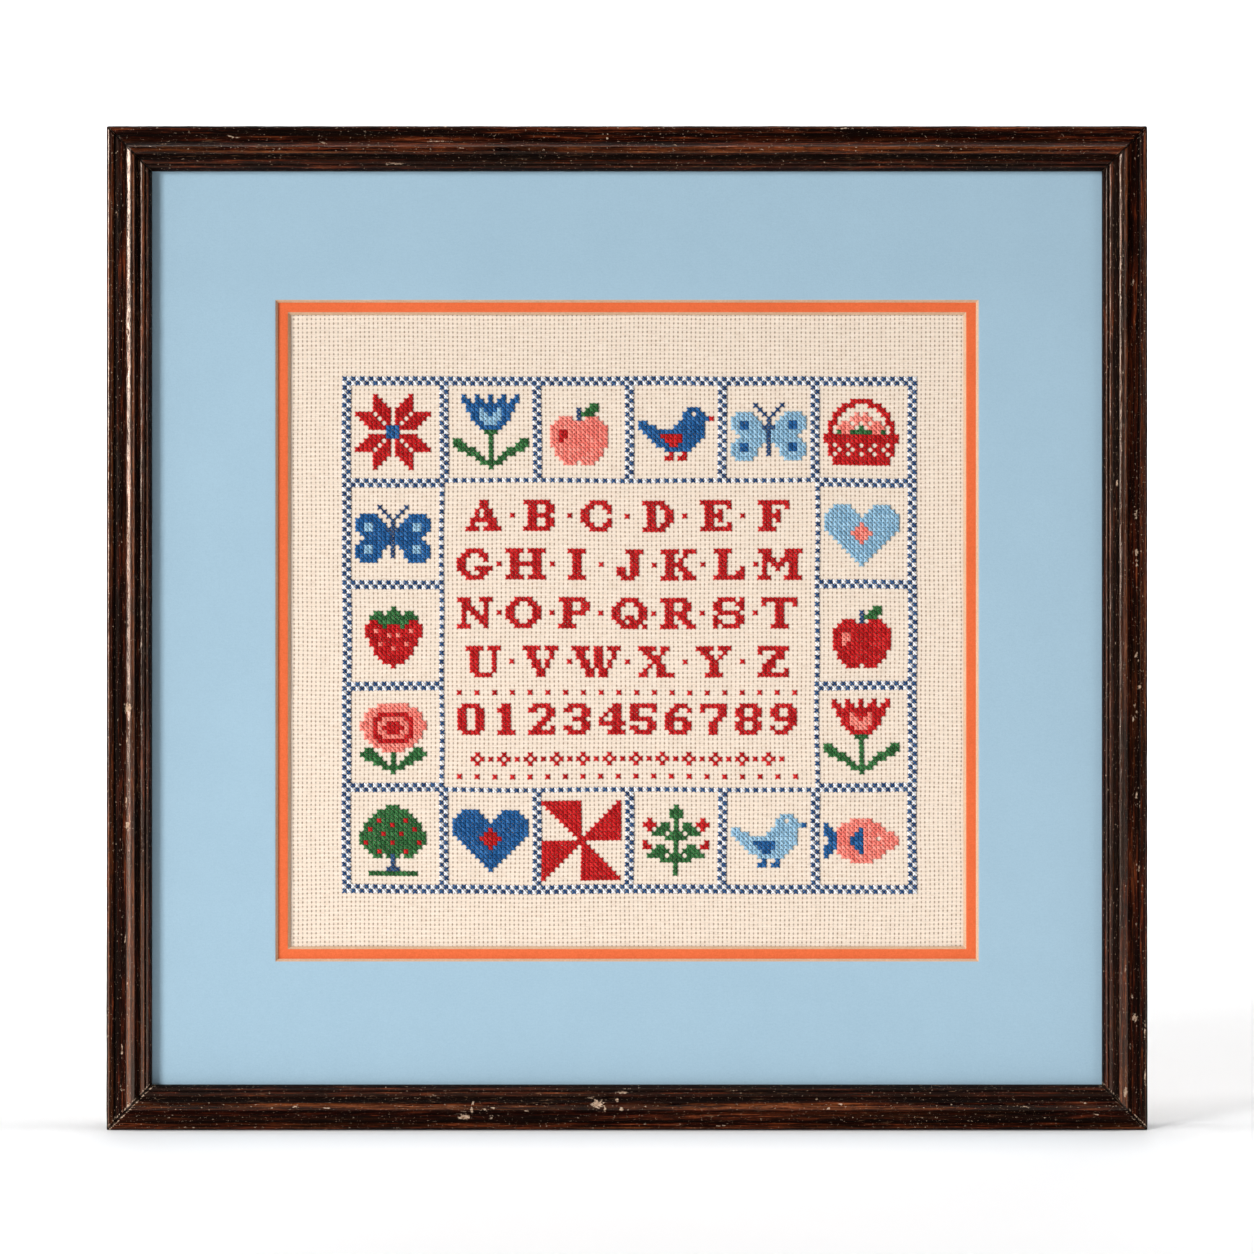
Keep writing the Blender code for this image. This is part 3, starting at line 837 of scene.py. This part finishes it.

# %% [markdown]
# ## The aida cloth
#
# Aida is woven in small blocks with a clear hole at each corner, where the needle goes. At this size the
# holes are what one sees, so they are modelled: the grid has a line on every row of holes and one
# halfway, and its points sink at the holes and a little between them. The finish also paints the holes
# and the lines between the blocks darker, as painted shade. Single threads are too fine for geometry and
# come from the finish, which reads a map in stitches, so holes and threads stay in step with the grid.
# The hidden margin under the mat is plain.


# %% Cloth finish and cloth
def aida_cotton():
    """Cream cotton: needle holes and block edges painted darker as shade, four threads to a block each way,
    and a soft mottling.
    """
    material, tree, shader = new_finish("aida_cotton")
    place = add(tree, "UVMap", {}, uv_map="weave").outputs[0]
    parts = add(tree, "SeparateXYZ", {0: place})
    u, v = parts.outputs[0], parts.outputs[1]

    def to_line(value):
        """Distance to the nearest whole number."""
        half = arithmetic(tree, "SUBTRACT", arithmetic(tree, "FRACT", value), 0.5)
        return arithmetic(tree, "SUBTRACT", 0.5, arithmetic(tree, "ABSOLUTE", half))

    def threads(value):
        """A ridge for each of the four threads in a block."""
        return arithmetic(tree, "SINE", times(tree, value, 8 * math.pi))

    from_u, from_v = to_line(u), to_line(v)
    # The holes are taller than they are wide, so a step up or down counts for less
    tall_v = times(tree, from_v, 0.65)
    reach = arithmetic(tree, "SQRT", plus(tree, times(tree, from_u, from_u), times(tree, tall_v, tall_v)))
    # Painted shade: the needle holes, which the mesh only dents, are darkened to a deep brown
    open_here = threshold(tree, clouds(tree, place, (1.4, 1.4, 1), 2, 0.5), 0.20, 0.60)
    hole = times(tree, threshold(tree, reach, 0.26, 0.10), open_here)
    gap = threshold(tree, arithmetic(tree, "MINIMUM", from_u, from_v), 0.14, 0.0)
    slub = clouds(tree, place, (0.35, 4.0, 1), 3, 0.6, (2, 5, 0))
    cream = colours(
        tree, slub, (0.35, (0.80, 0.66, 0.53)), (0.50, (0.88, 0.745, 0.615)), (0.66, (0.92, 0.80, 0.68))
    )
    aged = threshold(tree, clouds(tree, place, (0.9, 0.9, 1), 3, 0.7, (9, 4, 0)), 0.5, 0.75)
    cream = blend(tree, times(tree, aged, 0.35), cream, (0.86, 0.66, 0.50))
    # Painted shade along the lines between blocks and in the holes
    cream = blend(tree, times(tree, gap, 0.22), cream, (0.60, 0.44, 0.32))
    cream = blend(tree, times(tree, hole, 0.9), cream, (0.30, 0.20, 0.125))
    feed(tree, shader.inputs["Base Color"], cream)
    feed(tree, shader.inputs["Roughness"], threshold(tree, slub, -2.0, 1.2))
    height = mixture(tree, (times(tree, threads(u), threads(v)), 0.35), (hole, -1.0))
    feed(tree, shader.inputs["Normal"], relief(tree, height, 0.10, 0.5))
    shader.inputs["Sheen Weight"].default_value = 0.1
    shader.inputs["Specular IOR Level"].default_value = 0.2
    return material


SHOWN_PAST_WINDOW = 0.6
HOLE_DEPTH = 0.42
LINE_DEPTH = 0.10


def half_steps(low, high):
    """Every half number from low up to high."""
    return np.arange(np.ceil(2 * low), 2 * high) / 2


def aida_sheet():
    """The cloth as a product grid, with its edges and a flat back.

    A grid point sinks by HOLE_DEPTH on a hole, by LINE_DEPTH on the line between two blocks and by 0 in
    the middle of a block, plus at most 0.1 mm of slow waves. The lines are half a pitch apart where the
    window shows them.
    """
    low, high = (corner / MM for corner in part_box("aida_cloth"))
    half_window_x = INNER_WINDOW[0] / 2 + SHOWN_PAST_WINDOW
    half_window_z = INNER_WINDOW[1] / 2 + SHOWN_PAST_WINDOW
    u = half_steps((-half_window_x - BLOCK_LEFT) / PITCH, (half_window_x - BLOCK_LEFT) / PITCH)
    top = WINDOW_MIDDLE + half_window_z
    bottom = WINDOW_MIDDLE - half_window_z
    v = half_steps((BLOCK_TOP - top) / PITCH, (BLOCK_TOP - bottom) / PITCH)
    margin = np.array([1.0, 0.5, 0.12])
    rim_u = ((low.x - BLOCK_LEFT) / PITCH, (high.x - BLOCK_LEFT) / PITCH)
    rim_v = ((BLOCK_TOP - high.z) / PITCH, (BLOCK_TOP - low.z) / PITCH)
    u = np.concatenate([u[0] + (rim_u[0] - u[0]) * margin, u, u[-1] + (rim_u[1] - u[-1]) * margin[::-1]])
    v = np.concatenate([v[0] + (rim_v[0] - v[0]) * margin, v, v[-1] + (rim_v[1] - v[-1]) * margin[::-1]])
    columns, rows = len(u), len(v)
    grid_v, grid_u = np.meshgrid(v, u, indexing="ij")
    x, z = on_cloth(grid_u, grid_v)
    plain = np.ones((rows, columns), bool)
    plain[3:-3, 3:-3] = False
    x[plain] = (BLOCK_LEFT + grid_u * PITCH)[plain]
    z[plain] = (BLOCK_TOP - grid_v * PITCH)[plain]
    on_u_line = np.mod(grid_u, 1.0) == 0
    on_v_line = np.mod(grid_v, 1.0) == 0
    sink = np.where(on_u_line & on_v_line, HOLE_DEPTH, np.where(on_u_line | on_v_line, LINE_DEPTH, 0.0))
    sink = np.where(plain, 0.0, sink) + 0.05 * (1 + unevenness(33, 8, grid_u, grid_v, (6, 40), (6, 40)))
    y = low.y + np.clip(sink, 0.0, 0.6)
    front = np.stack([x, y, z], axis=-1).reshape(-1, 3)
    corner_x = (low.x, high.x, high.x, low.x)
    corner_z = (high.z, high.z, low.z, low.z)
    points = np.concatenate([front, np.stack([corner_x, np.full(4, high.y), corner_z], axis=-1)])
    back = len(front)
    faces = grid_faces(rows, columns)[:, ::-1]
    across = np.arange(columns)
    down = np.arange(rows) * columns
    last_row = (rows - 1) * columns
    level_edges = np.stack([
        np.concatenate([across, [back + 1, back]]),
        np.concatenate([last_row + across[::-1], [back + 3, back + 2]]),
    ])
    upright_edges = np.stack([
        np.concatenate([down[::-1], [back, back + 3]]),
        np.concatenate([down + columns - 1, [back + 2, back + 1]]),
    ])
    rear = np.array([[back, back + 1, back + 2, back + 3]])
    cloth = make_piece("aida_cloth_dressed", points, faces, level_edges, upright_edges, rear, smooth_angle=60)
    corner_u = (rim_u[0], rim_u[1], rim_u[1], rim_u[0])
    corner_v = (rim_v[0], rim_v[0], rim_v[1], rim_v[1])
    place = np.concatenate([np.stack([grid_u, grid_v], axis=-1).reshape(-1, 2),
                            np.stack([corner_u, corner_v], axis=-1)])
    used = np.concatenate([group.ravel() for group in (faces, level_edges, upright_edges, rear)])
    corner_map(cloth, "weave", place[used])
    cloth.data.materials.append(aida_cotton())
    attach(cloth, "root")
    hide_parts("aida_cloth")
    return cloth, (high.x - low.x, high.z - low.z)


cloth, cut = aida_sheet()
print("cloth is cut to", [round(side, 1) for side in cut], "mm")

# %% [markdown]
# ## The chart
#
# A stitcher works from squared paper. Here the chart is an array of letters, one for each stitch, and
# the pictures are drawn as rows of text: r red, b royal blue, n navy, s sky blue, p pink,
# g green, w white, and a dot for bare cloth. A picture that is the same left and right is drawn as its
# left half and mirrored. The star and the pinwheel are simple enough for a formula.

# %% Letters and figures, seven stitches tall
LETTERS = {
    "A": "...##... ...##... ..#.##.. ..#.##.. .######. .#...##. ###.####",
    "B": "######. .##..## .##..## .#####. .##..## .##..## ######.",
    "C": "..####. .##..## ##....# ##..... ##....# .##..## ..####.",
    "D": "#####.. .##.##. .##..## .##..## .##..## .##.##. #####..",
    "E": "####### .##...# .##.#.. .####.. .##.#.. .##...# #######",
    "F": "####### .##...# .##.#.. .####.. .##.#.. .##.... ####...",
    "G": "..####.. .##..##. ##....#. ##...... ##..#### .##..##. ..####..",
    "H": "####.#### .##...##. .##...##. .#######. .##...##. .##...##. ####.####",
    "I": "#### .##. .##. .##. .##. .##. ####",
    "J": "..#### ...##. ...##. ...##. ##.##. ##.##. .###..",
    "K": "####.### .##..#.. .##.#... .####... .##.##.. .##..##. ####.###",
    "L": "####... .##.... .##.... .##.... .##...# .##..## #######",
    "M": "###...#### .##...###. .###.####. .#.###.##. .#..#..##. .#.....##. ###...####",
    "N": "###..### .##...#. .###..#. .#.##.#. .#..###. .#...##. ###...#.",
    "O": "..####.. .##..##. ##....## ##....## ##....## .##..##. ..####..",
    "P": "######. .##..## .##..## .#####. .##.... .##.... ####...",
    "Q": "..####.. .##..##. ##....## ##....## ##.##.## .##.###. ..####.#",
    "R": "######.. .##..##. .##..##. .#####.. .##.##.. .##..##. ####..##",
    "S": ".####.# ##...## ##....# .#####. #....## ##...## #.####.",
    "T": "######## #..##..# ...##... ...##... ...##... ...##... ..####..",
    "U": "####.### .##...#. .##...#. .##...#. .##...#. .##...#. ..####..",
    "V": "####.### .##...#. .##...#. ..##.#.. ..##.#.. ...##... ...##...",
    "W": "####.##.### .##..##..#. .##..##..#. ..##.##.#.. ..##.##.#.. ...##.##... ...##.##...",
    "X": "####.##. .##..#.. ..###... ...##... ..#.##.. .#..##.. ##..####",
    "Y": "####.### .##...#. ..##.#.. ...##... ...##... ...##... ..####..",
    "Z": "####### #...##. ...###. ..##... .###... .##...# #######",
    "0": ".####. ##..## ##..## ##..## ##..## ##..## .####.",
    "1": "..##.. .###.. ..##.. ..##.. ..##.. ..##.. .####.",
    "2": ".####. ##..## ....## ...##. ..##.. .##..# ######",
    "3": ".####. ##..## ....## ..###. ....## ##..## .####.",
    "4": "...##. ..###. .#.##. #..##. ###### ...##. ..####",
    "5": "###### ##...# ##.... #####. ....## ##..## .####.",
    "6": "..###. .##..# ##.... #####. ##..## ##..## .####.",
    "7": "###### #...## ....## ...##. ..##.. ..##.. ..##..",
    "8": ".####. ##..## ##..## .####. ##..## ##..## .####.",
    "9": ".####. ##..## ##..## .##### ....## #..##. .###..",
}
print("letters and figures:", len(LETTERS))

# %% The pictures, drawn whole or as a left half
HALF_PICTURES = {
    "butterfly": """
        .....n... ......n.. .ssss..n. ssssss..n ssbbsss.n ssbbsssnn .sssssssn ..ssssssn
        .sssssssn ssbbsss.n ssbbss..n ssssss..n .ssss....""",
    "fan_flower": """
        ..b..b..b ..bb.bb.b ...bbbbbb ...bbbsbb ....bbssb ....bbsss .....bbss ......bbb .......gg
        ........g gg......g ggg.....g .gggg...g ...ggg..g .....gg.g ......ggg ........g""",
    "basket": """
        ......rrr ....rrr.. ...rr.... ..rr...p. ..r...ppp .rr.pp.p. .r.pppp.g .r.gppggg
        rrrrrrrrr rrrrrrrrr .r.rr.rr. .rr.rr.rr .r.rr.rr. ..rrrrrrr ..rrrrrrr""",
    "strawberry": """
        ......g ..gg.gg .gggggg .rrgggg rrrrgrr rrprrrr rrrrrpr .rrrrrr .rrprrr ..rrrrp
        ..rrrrr ...rrrr ....rrr ......r""",
    "tree": """
        ......gg ....gggg ...ggggg ..ggrggg .ggggggr .grggggg gggggrgg gggggggg grgggggr
        .ggggggg ..ggrggg ...gg.gn .......n .......n ......nn ..gggggg""",
    "round_flower": """
        ....pppp ..pppppp .ppprrrr .pprrppp ppprpprr ppprprrr .pprpprr .pprrppp ..pprrrr
        ...ppppp .gg..ppp gggg...g .gggg..g ...ggg.g .....ggg .......g""",
    "heart": """
        ..bbbb... .bbbbbb.. bbbbbbbb. bbbbbbbbb bbbbbbbbr bbbbbbbrr .bbbbbrrr ..bbbbbrr ...bbbbbr
        ....bbbbb .....bbbb ......bbb .......bb ........b""",
    "sprig": """
        .......g ......gg ......gg .r.....g rrr.gg.g .r.ggg.g ..ggg.gg .....ggg r......g
        rr.gg..g ..gggg.g .gggg.gg ....gggg .......g .......g .......g""",
}
WHOLE_PICTURES = {
    "bird": """
        ...........bbb... ..........bb.bb.. ..........bbbbbbr bb.......bbbbbb.. bbbb....bbbbbbb..
        .bbbbbbbbbbbbbb.. ..bbbrrrrrbbbbb.. ...bbbrrrrbbbb... ....bbbrrbbbb.... ......bbbbbb.....
        .......r..r...... ......rr.rr......""",
    "fruit": """
        .........gg... ......n.ggg... ......nggg.... ..rrr.n.rrr... .rrrrrrrrrrr.. rrrrrrrrrrrrr.
        rrpprrrrrrrrr. rrpprrrrrrrrr. rrprrrrrrrrrr. rrrrrrrrrrrrr. .rrrrrrrrrrr.. .rrrrrrrrrrr..
        ..rrrrrrrrr... ...rrr.rrr....""",
    "fish": """
        ......ppppp...... b...ppppppppp.... bb.pppppbppppp... bbbppppbbppppppp. .bbpppbbbppp.pppp
        .bbpppbbbpppppppp bbbppppbbppppppp. bb.pppppbppppp... b...ppppppppp.... ......ppppp......""",
}


def as_grid(text):
    """Rows of text, apart from each other by spaces, as an array of single letters."""
    rows = text.split()
    assert len({len(row) for row in rows}) == 1, rows
    return np.array([list(row) for row in rows])


PICTURES = {name: as_grid(text) for name, text in WHOLE_PICTURES.items()}
for name, text in HALF_PICTURES.items():
    half = as_grid(text)
    PICTURES[name] = np.concatenate([half, half[:, -2::-1]], axis=1)
print({name: picture.shape for name, picture in PICTURES.items()})


# %% Pictures with a formula
def star_picture():
    """Eight slanted petals: the smaller of |x| and |y| is 1 to 4, and so is the difference of the two."""
    y, x = np.abs(np.mgrid[-8:9, -8:9])
    small, large = np.minimum(x, y), np.maximum(x, y)
    petals = (small >= 1) & (small <= 4) & (large - small >= 1) & (large - small <= 4)
    picture = np.where(petals, "r", ".")
    picture[(x <= 1) & (y <= 1)] = "b"
    return picture


def pinwheel_picture():
    """Four quarters, each cut by a diagonal, with the red half turning one quarter on from the last."""
    quarter = np.where(np.arange(9)[:, None] <= np.arange(9), "r", ".")
    turned = np.rot90(quarter, -1)
    upper = np.concatenate([quarter, turned], axis=1)
    lower = np.concatenate([np.rot90(quarter), np.rot90(quarter, 2)], axis=1)
    return np.concatenate([upper, lower])


PICTURES.update(star=star_picture(), pinwheel=pinwheel_picture())

# %% [markdown]
# ## Laying the chart out
#
# The sampler is a ring of eighteen squares round the alphabet. Two rows of alternating navy and white
# crosses divide the squares, and one row runs round the alphabet. Pictures come back in other colours,
# as on many school samplers, so a picture is stored once and its letters are swapped as it is placed.

# %% Borders, pictures, alphabet
CHART_COLUMNS, CHART_ROWS = 130, 117
COLUMN_LINES = (0, 22, 43, 64, 85, 106, 128)
ROW_LINES = (0, 23, 46, 69, 92, 115)
chart = np.full((CHART_ROWS, CHART_COLUMNS), ".")
row, column = np.mgrid[:CHART_ROWS, :CHART_COLUMNS]
on_line = np.zeros(chart.shape, bool)
for line in COLUMN_LINES:
    on_line |= (column == line) | (column == line + 1)
for line in ROW_LINES:
    on_line |= (row == line) | (row == line + 1)
in_field = (column >= 23) & (column <= 106) & (row >= 24) & (row <= 92)
on_line &= ~in_field
chart[on_line] = np.where((row + column) % 2 == 0, "n", "w")[on_line]


def place_picture(name, ring_column, ring_row, swap=""):
    """Centres a picture in a square of the ring. swap "rb" exchanges its red and its blue."""
    picture = PICTURES[name].copy()
    for a, b in swap.split("/") if swap else ():
        was_a, was_b = picture == a, picture == b
        picture[was_a] = b
        picture[was_b] = a
    tall, wide = picture.shape
    left = (COLUMN_LINES[ring_column] + 2 + COLUMN_LINES[ring_column + 1] - wide) // 2
    top = (ROW_LINES[ring_row] + 2 + ROW_LINES[ring_row + 1] - tall + 1) // 2
    spot = chart[top:top + tall, left:left + wide]
    spot[picture != "."] = picture[picture != "."]


for placed in (
    ("star", 0, 0), ("fan_flower", 1, 0), ("fruit", 2, 0, "rp"),
    ("bird", 3, 0), ("butterfly", 4, 0), ("basket", 5, 0),
    ("butterfly", 0, 1, "bs"), ("strawberry", 0, 2), ("round_flower", 0, 3),
    ("heart", 5, 1, "bs/rp"), ("fruit", 5, 2), ("fan_flower", 5, 3, "br/sp"),
    ("tree", 0, 4), ("heart", 1, 4), ("pinwheel", 2, 4),
    ("sprig", 3, 4), ("bird", 4, 4, "bs/rb"), ("fish", 5, 4),
):
    place_picture(*placed)


FIELD_MIDDLE = 64.5


def write_row(letters, top, spacing, dots=True):
    """Centres a row of letters in the field, that many stitches apart, with a cross between them."""
    middles = FIELD_MIDDLE + (np.arange(len(letters)) - (len(letters) - 1) / 2) * spacing
    for letter, middle in zip(letters, middles):
        shape = as_grid(LETTERS[letter]) == "#"
        left = round(middle - shape.shape[1] / 2 + 0.01)
        chart[top:top + 7, left:left + shape.shape[1]][shape] = "r"
    if dots:
        chart[top + 3, np.round(middles[:-1] + spacing / 2 - 0.5).astype(int)] = "r"


write_row("ABCDEF", 28, 13.2)
write_row("GHIJKLM", 39, 11.6)
write_row("NOPQRST", 50, 11.6)
write_row("UVWXYZ", 61, 13.2)
write_row("0123456789", 74, 7.8, dots=False)
# A line of single crosses above the figures and one at the foot, and a row of small rings between
chart[[[71], [90]], np.arange(26, 105, 4)] = "r"
for left in range(29, 101, 6):
    chart[[85, 86, 86, 87], [left + 1, left, left + 2, left + 1]] = "r"
    chart[86, left + 4] = "r"
print({letter: int((chart == letter).sum()) for letter in "rbnspgw"}, "crosses")

# %% [markdown]
# ## The stitches
#
# Each cross is two short lengths of stranded cotton. One goes up to the right and the other lies over
# it. A leg is a flattened tube on an arch: its middle line runs from hole to hole, rises off the cloth
# and dives in again at both ends, where it is also thinner. Every leg is the same small grid, so all the
# legs of a colour are worked out in one go as one array, and become one mesh. Small random shifts in
# place, width and height keep it from looking printed.

# %% Cross stitches as one array
LEG_RINGS = 5
LEG_SIDES = 5


def cross_stitches(name, wanted, finish, seed, width=0.98):
    """Both legs of every cross where wanted is true.

    Along a leg t runs from 0 to 1. The middle line is start + (end - start) t, raised by
    arch * (1 - (2 t - 1) to the fourth). Round it the section is an ellipse, width by 0.46 mm, and the
    share of both that is left at t is 0.66 + 0.34 * (1 - (2 t - 1) to the fourth). Places, widths and
    arches vary a little from leg to leg.
    """
    draw = np.random.default_rng(seed)
    rows, columns = np.nonzero(wanted)
    count = len(rows)
    cloth_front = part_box("aida_cloth")[0].y / MM
    t = np.linspace(0, 1, LEG_RINGS)[None, :, None]
    around = np.arange(LEG_SIDES) / LEG_SIDES
    angle = (2 * np.pi * (around - 0.25 + 0.5 / LEG_SIDES))[None, None, :]
    full = 1 - (2 * t - 1) ** 4
    all_points, all_strand = [], []
    # The first leg rises to the right and lies on the cloth, and the second falls and lies over it
    for rises, arch in ((1, 0.26), (0, 0.52)):
        start = np.stack(on_cloth(columns.astype(float), rows + float(rises)), axis=-1)
        end = np.stack(on_cloth(columns + 1.0, rows + 1.0 - rises), axis=-1)
        start += draw.normal(0, 0.035, start.shape)
        end += draw.normal(0, 0.035, end.shape)
        run = end - start
        beside = np.stack([-run[:, 1], run[:, 0]], axis=-1) / np.hypot(run[:, 0], run[:, 1])[:, None]
        spread = width * draw.normal(1, 0.07, count)[:, None, None] / 2
        rise = arch * draw.normal(1, 0.12, count)[:, None, None]
        share = 0.66 + 0.34 * full
        out = spread * share * np.cos(angle)
        up = 0.23 * share * np.sin(angle) + rise * full - 0.06
        middle = start[:, None, None, :] + run[:, None, None, :] * t[..., None]
        flat = middle + beside[:, None, None, :] * out[..., None]
        points = np.stack([flat[..., 0], cloth_front - up, flat[..., 1]], axis=-1)
        all_points.append(points)
        chance = draw.random(count)[:, None, None]
        all_strand.append(np.stack(np.broadcast_arrays(t, around[None, None, :], chance), axis=-1))
    points = np.concatenate(all_points)
    strand = np.concatenate(all_strand)
    legs, per_leg = len(points), LEG_RINGS * LEG_SIDES
    offset = (np.arange(legs) * per_leg)[:, None, None]
    tube = (grid_faces(LEG_RINGS, LEG_SIDES, wrap_columns=True)[None] + offset).reshape(-1, 4)
    ring = np.arange(LEG_SIDES)
    ends = (np.stack([ring[::-1], ring + per_leg - LEG_SIDES])[None] + offset).reshape(-1, LEG_SIDES)
    stitches = make_piece(name, points.reshape(-1, 3), tube[:, ::-1], ends[:, ::-1])
    point_numbers(stitches, "strand", strand.reshape(-1, 3))
    stitches.data.materials.append(finish)
    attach(stitches, "root")
    return stitches


# %% [markdown]
# ## The finish of the thread
#
# Stranded cotton has a soft shine, fine twisted strands, and small differences from one stitch to the
# next. The nodes read the attribute strand, which holds the place along the leg, the place round it, and
# one chance number for each leg. The twist is a sine of both places. The ends are painted darker, as
# painted shade where they dive between other stitches into the hole.


# %% Thread finish and the stitched pieces
def stranded_cotton(name, dark, main, light):
    """Twisted cotton between a dark and a light tone of one colour."""
    material, tree, shader = new_finish(name)
    strand = add(tree, "Attribute", {}, attribute_name="strand").outputs["Vector"]
    along, around, chance = add(tree, "SeparateXYZ", {0: strand}).outputs
    twist = arithmetic(tree, "SINE", mixture(tree, (around, 8 * math.pi), (along, 6 * math.pi)))
    fuzz = clouds(tree, add(tree, "TexCoord", {}).outputs["Object"], (2400, 2400, 2400), 2, 0.6)
    tone = mixture(tree, (chance, 0.45), (fuzz, 0.55), (twist, 0.10))
    base = colours(tree, tone, (0.22, dark), (0.50, main), (0.80, light))
    # Painted shade: the last stretch at each end of a leg is darkened towards the dark tone
    from_middle = arithmetic(tree, "ABSOLUTE", arithmetic(tree, "SUBTRACT", along, 0.5))
    dive_shade = times(tree, threshold(tree, from_middle, 0.36, 0.5), 0.55)
    feed(tree, shader.inputs["Base Color"], blend(tree, dive_shade, base, dark))
    feed(tree, shader.inputs["Roughness"], threshold(tree, fuzz, -0.6, 1.3))
    feed(tree, shader.inputs["Normal"], relief(tree, twist, 0.06, 0.5))
    shader.inputs["Sheen Weight"].default_value = 0.04
    shader.inputs["Specular IOR Level"].default_value = 0.12
    return material


RED = stranded_cotton("red_cotton", (0.36, 0.003, 0.004), (0.56, 0.006, 0.008), (0.74, 0.030, 0.030))
ROYAL_BLUE = stranded_cotton(
    "royal_blue_cotton", (0.007, 0.065, 0.20), (0.012, 0.11, 0.32), (0.05, 0.19, 0.46)
)
NAVY = stranded_cotton("navy_cotton", (0.010, 0.035, 0.11), (0.020, 0.068, 0.19), (0.05, 0.13, 0.29))
SKY_BLUE = stranded_cotton("sky_blue_cotton", (0.20, 0.38, 0.53), (0.31, 0.53, 0.70), (0.43, 0.66, 0.82))
PINK = stranded_cotton("pink_cotton", (0.78, 0.15, 0.12), (1.0, 0.27, 0.21), (1.0, 0.38, 0.31))
GREEN = stranded_cotton("green_cotton", (0.015, 0.075, 0.020), (0.030, 0.150, 0.040), (0.07, 0.25, 0.08))
WHITE = stranded_cotton("white_cotton", (0.78, 0.79, 0.81), (0.92, 0.92, 0.93), (0.98, 0.98, 0.98))

STITCHED = (
    ("alphabet_red", (chart == "r") & in_field, RED, "red_thread", 0.98),
    ("pictures_red", (chart == "r") & ~in_field, RED, "red_thread", 1.02),
    ("pictures_royal_blue", chart == "b", ROYAL_BLUE, "royal_blue_thread", 1.02),
    ("pictures_sky_blue", chart == "s", SKY_BLUE, "sky_blue_thread", 1.02),
    ("pictures_pink", chart == "p", PINK, "pink_thread", 1.02),
    ("pictures_green", chart == "g", GREEN, "green_thread", 1.0),
    ("borders_navy", chart == "n", NAVY, "navy_thread", 0.80),
    ("borders_white", chart == "w", WHITE, "white_thread", 0.85),
)
stitched_pieces = [
    cross_stitches(name, wanted, finish, 60 + number, width)
    for number, (name, wanted, finish, slot, width) in enumerate(STITCHED)
]

# %% [markdown]
# ## The backing board
#
# The cloth is mounted on a plain sheet of hardboard, which also closes the back of the frame. Its CAD
# shape is right as it is, so it only gets a finish: pressed brown fibre with the print of the press
# screen on the side that faces out.


# %% Hardboard
def hardboard():
    """Pressed fibre in mixed browns, with a woven print of 1.6 mm."""
    material, tree, shader = new_finish("hardboard")
    place = add(tree, "TexCoord", {}).outputs["Object"]
    parts = add(tree, "SeparateXYZ", {0: place})
    fibre = clouds(tree, place, (700, 700, 1900), 4, 0.7, (0, 0, 0), 1.2)
    cloudy = clouds(tree, place, (18, 18, 18), 3, 0.6)
    feed(tree, shader.inputs["Base Color"], colours(
        tree, mixture(tree, (fibre, 0.6), (cloudy, 0.4)),
        (0.36, (0.075, 0.036, 0.018)), (0.50, (0.17, 0.088, 0.044)), (0.66, (0.29, 0.17, 0.09))
    ))
    per_metre = 2 * math.pi / (1.6 * MM)
    wave_x = arithmetic(tree, "SINE", times(tree, parts.outputs[0], per_metre))
    wave_z = arithmetic(tree, "SINE", times(tree, parts.outputs[2], per_metre))
    screen = times(tree, wave_x, wave_z)
    feed(tree, shader.inputs["Roughness"], threshold(tree, fibre, -1.2, 0.9))
    height = plus(tree, times(tree, screen, 0.5), fibre)
    feed(tree, shader.inputs["Normal"], relief(tree, height, 0.2, 0.6))
    return material


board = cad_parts["backing_board"]
board.material_slots[0].material = hardboard()
print("board finish:", board.material_slots[0].material.name)
